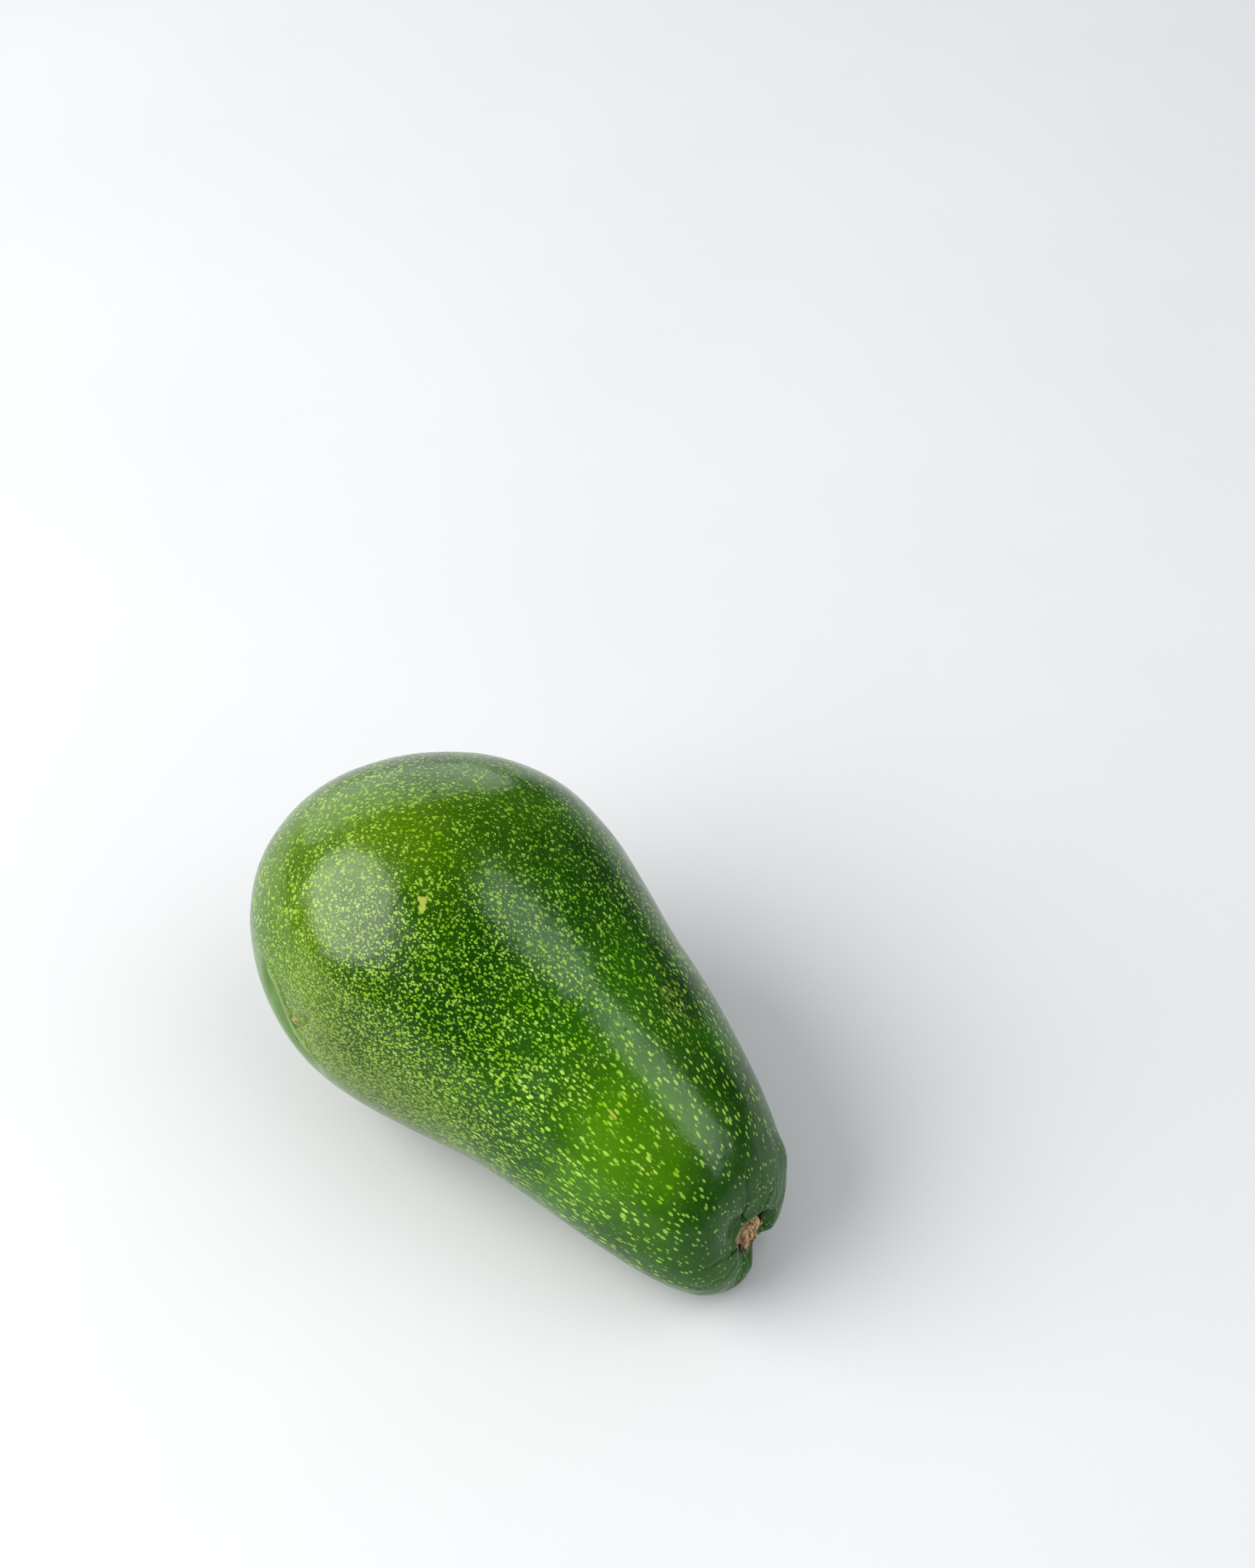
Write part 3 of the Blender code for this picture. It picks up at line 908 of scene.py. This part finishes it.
    # pebbly waxy skin: specks stand a little proud, cork is dry
    pebble = noiseAt(made, place, look["pebbleSize"], 3.0, 0.55)["Fac"]
    dimple = noiseAt(made, place, look["dimpleSize"], 2.0, 0.5)["Fac"]
    height = plus(made, times(made, dimple, 0.9), times(made, pebble, 0.42))
    height = plus(made, height, times(made, crumbShare, 0.10))
    height = plus(made, height, times(made, fineShare, 0.08))
    height = math(made, "SUBTRACT", height, times(made, nickShare, 0.5))
    height = plus(made, height, times(made, corkGrain, times(made, cork, 1.6)))
    bump = addNode(made, "Bump", put={"Height": height, "Strength": look["bumpStrength"],
                                      "Distance": look["bumpDepth"]})
    rough = ranged(made, small, 0.2, 0.8, look["roughness"] - 0.05, look["roughness"] + 0.09)
    rough = plus(made, rough, times(made, crumbShare, 0.06))
    dry = math(made, "MAXIMUM", cork, times(made, pipTone, 0.7))
    rough = plus(made, rough, times(made, dry, 0.5), clamp=True)
    finishShader(made, shader, colour, rough, bump)
    shader.inputs["IOR"].default_value = look["refraction"]
    shader.inputs["Specular IOR Level"].default_value = look["specular"]
    return made


stubFinish = {
    "tan": (0.66, 0.50, 0.29, 1),
    "pinkTan": (0.52, 0.35, 0.20, 1),
    "brown": (0.20, 0.115, 0.045, 1),
    # a near-black painted shade at the seat, between the strands and in the slits
    "dark": (0.018, 0.010, 0.005, 1),
    "fibreSize": 0.00030,
    "blotchSize": 0.0014,
    "bumpStrength": 0.8,
    "bumpDepth": 0.00018,
    "specular": 0.25,
}


def stubMaterial(look):
    made, shader = newMaterial("driedStem")
    place = addNode(made, "Attribute", attribute_name="fibre").outputs["Vector"]
    height, strand, sunk = stored(made, "torn")
    fibre = noiseAt(made, place, look["fibreSize"], 4.0, 0.6, 0.3)["Fac"]
    blotch = noiseAt(made, place, look["blotchSize"], 3.0, 0.5)["Fac"]
    colour = mixColour(made, ranged(made, blotch, 0.35, 0.65), look["pinkTan"], look["tan"])
    colour = mixColour(made, ranged(made, fibre, 0.56, 0.36), colour, look["brown"])
    # painted shade: darker where it sits in the pit, between the strands and in the slits
    colour = mixColour(made, ranged(made, height, 0.30, 0.0), colour, look["dark"])
    colour = mixColour(made, ranged(made, strand, 0.40, 0.18, 0.0, 0.8), colour, look["dark"])
    colour = mixColour(made, ranged(made, sunk, 0.3, 0.9), colour, look["dark"])
    bump = addNode(made, "Bump", put={"Height": fibre, "Strength": look["bumpStrength"],
                                      "Distance": look["bumpDepth"]})
    finishShader(made, shader, colour, ranged(made, fibre, 0.3, 0.7, 0.92, 0.74), bump)
    shader.inputs["Specular IOR Level"].default_value = look["specular"]
    return made


fruitMesh.materials.append(skinMaterial(skinFinish))
stubMesh.materials.append(stubMaterial(stubFinish))
for piece, node, slot in ((fruit, "fruit", "skin"), (stub, "stem_stub", "dry_stem")):
    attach(piece, "root")
    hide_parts(node)
print("avocado: finishes")

# A lamp's direction is from the fruit to the lamp. One may only light, or only show in the gloss
studio = {
    "floorSize": 3.2,
    "floorColour": (0.545, 0.547, 0.551, 1),
    "floorPaler": 1.02,
    "floorCloud": 0.09,
    "floorGrain": 0.0009,
    "floorRoughness": 0.65,
    "floorSpecular": 0.2,
    "skyLow": (0.80, 0.86, 0.92, 1),
    "skyHigh": (0.42, 0.43, 0.44, 1),
    "skyRamp": (0.15, 0.75),
    "skyStrength": 1.20,
    "skyShine": 0.15,  # how strongly the room shows in glossy skin
    "lights": (
        {"name": "windowLeft", "shape": "ELLIPSE", "direction": (-0.47, -0.67, 0.58), "distance": 1.10,
         "width": 1.46, "height": 1.04, "radiance": 4.8, "colour": (1.0, 0.99, 0.97),
         "lights": True, "shines": True},
        {"name": "softPanelAbove", "shape": "RECTANGLE", "direction": (0.62, 0.32, 0.71), "distance": 1.30,
         "width": 0.66, "height": 1.30, "radiance": 2.6, "colour": (0.93, 0.98, 1.0),
         "lights": False, "shines": True},
        {"name": "paleWallBehind", "shape": "ELLIPSE", "direction": (-0.84, 0.44, 0.26), "distance": 1.60,
         "width": 2.20, "height": 1.20, "radiance": 1.5, "colour": (0.96, 0.99, 1.0),
         "lights": False, "shines": True},
        {"name": "softFill", "shape": "ELLIPSE", "direction": (0.60, 0.30, 0.74), "distance": 2.00,
         "width": 2.60, "height": 2.60, "radiance": 0.80, "colour": (1.0, 1.0, 1.0),
         "lights": True, "shines": False},
    ),
}


def makeFloor(look):
    bm = bmesh.new()
    bmesh.ops.create_grid(bm, x_segments=8, y_segments=8, size=look["floorSize"] / 2)
    mesh = bpy.data.meshes.new("paleFloor")
    bm.to_mesh(mesh)
    bm.free()
    floor = bpy.data.objects.new("paleFloor", mesh)
    bpy.context.scene.collection.objects.link(floor)
    made, shader = newMaterial("paleTable")
    place = addNode(made, "TexCoord").outputs["Object"]
    cloud = noiseAt(made, place, look["floorCloud"], 3.0, 0.5)["Fac"]
    grain = noiseAt(made, place, look["floorGrain"], 2.0, 0.5)["Fac"]
    pale = look["floorColour"]
    paler = tuple(min(value * look["floorPaler"], 1.0) for value in pale[:3]) + (1,)
    colour = mixColour(made, ranged(made, cloud, 0.3, 0.7), pale, paler)
    bump = addNode(made, "Bump", put={"Height": grain, "Strength": 0.05, "Distance": 0.0002})
    finishShader(made, shader, colour, None, bump)
    shader.inputs["Roughness"].default_value = look["floorRoughness"]
    shader.inputs["Specular IOR Level"].default_value = look["floorSpecular"]
    mesh.materials.append(made)


def makeSky(look):
    world = bpy.data.worlds.new("paleRoom")
    bpy.context.scene.world = world
    world.use_nodes = True
    tree = world.node_tree
    background = tree.nodes["Background"]
    direction = tree.nodes.new("ShaderNodeTexCoord")
    split = tree.nodes.new("ShaderNodeSeparateXYZ")
    ramp = tree.nodes.new("ShaderNodeValToRGB")
    tree.links.new(direction.outputs["Generated"], split.inputs[0])
    tree.links.new(split.outputs["Z"], ramp.inputs["Fac"])
    tree.links.new(ramp.outputs["Color"], background.inputs["Color"])
    colours = (look["skyLow"], look["skyHigh"])
    for stop, position, colour in zip(ramp.color_ramp.elements, look["skyRamp"], colours):
        stop.position = position
        stop.color = colour
    ray = tree.nodes.new("ShaderNodeLightPath")
    dim = tree.nodes.new("ShaderNodeMapRange")
    dim.inputs["To Min"].default_value = look["skyStrength"]
    dim.inputs["To Max"].default_value = look["skyShine"]
    tree.links.new(ray.outputs["Is Glossy Ray"], dim.inputs["Value"])
    tree.links.new(dim.outputs[0], background.inputs["Strength"])


def makeLights(look, target):
    for lampLook in look["lights"]:
        width = lampLook["width"]
        height = lampLook["height"]
        light = bpy.data.lights.new(lampLook["name"], "AREA")
        light.shape = lampLook["shape"]
        light.size = width
        light.size_y = height
        fullness = pi / 4 if light.shape == "ELLIPSE" else 1
        light.energy = lampLook["radiance"] * pi * width * height * fullness
        light.color = lampLook["colour"]
        lamp = bpy.data.objects.new(lampLook["name"], light)
        away = Vector(lampLook["direction"]).normalized()
        lamp.location = target + away * lampLook["distance"]
        lamp.rotation_euler = away.to_track_quat("Z", "Y").to_euler()
        lamp.visible_diffuse = lampLook["lights"]
        lamp.visible_glossy = lampLook["shines"]
        bpy.context.scene.collection.objects.link(lamp)


cameraPlace = {
    "azimuth": 45.94,
    "elevation": 50.0,
    "distance": 0.6224,
    "targetHeight": 0.033,
    "aim": (-0.02936, 0.05965, 0.033),
    "lens": 70,
    "sensor": 36,
    "nearest": 0.02,
}


def makeCamera(look):
    azimuth = radians(look["azimuth"])
    elevation = radians(look["elevation"])
    away = Vector((sin(azimuth) * cos(elevation), -cos(azimuth) * cos(elevation), sin(elevation)))
    view = bpy.data.cameras.new("tableCamera")
    view.lens = look["lens"]
    view.sensor_width = look["sensor"]
    view.sensor_height = look["sensor"]
    view.clip_start = look["nearest"]
    camera = bpy.data.objects.new("tableCamera", view)
    camera.location = Vector((0, 0, look["targetHeight"])) + away * look["distance"]
    camera.rotation_euler = (camera.location - Vector(look["aim"])).to_track_quat("Z", "Y").to_euler()
    bpy.context.scene.collection.objects.link(camera)
    bpy.context.scene.camera = camera


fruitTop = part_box("fruit")[1][2]
makeFloor(studio)
makeSky(studio)
makeLights(studio, Vector((0.0, 0.0, fruitTop / 2)))
makeCamera(cameraPlace)
bpy.context.scene.view_settings.view_transform = "Standard"
bpy.context.scene.view_settings.look = "Medium High Contrast"
print("avocado: table, lights and camera")
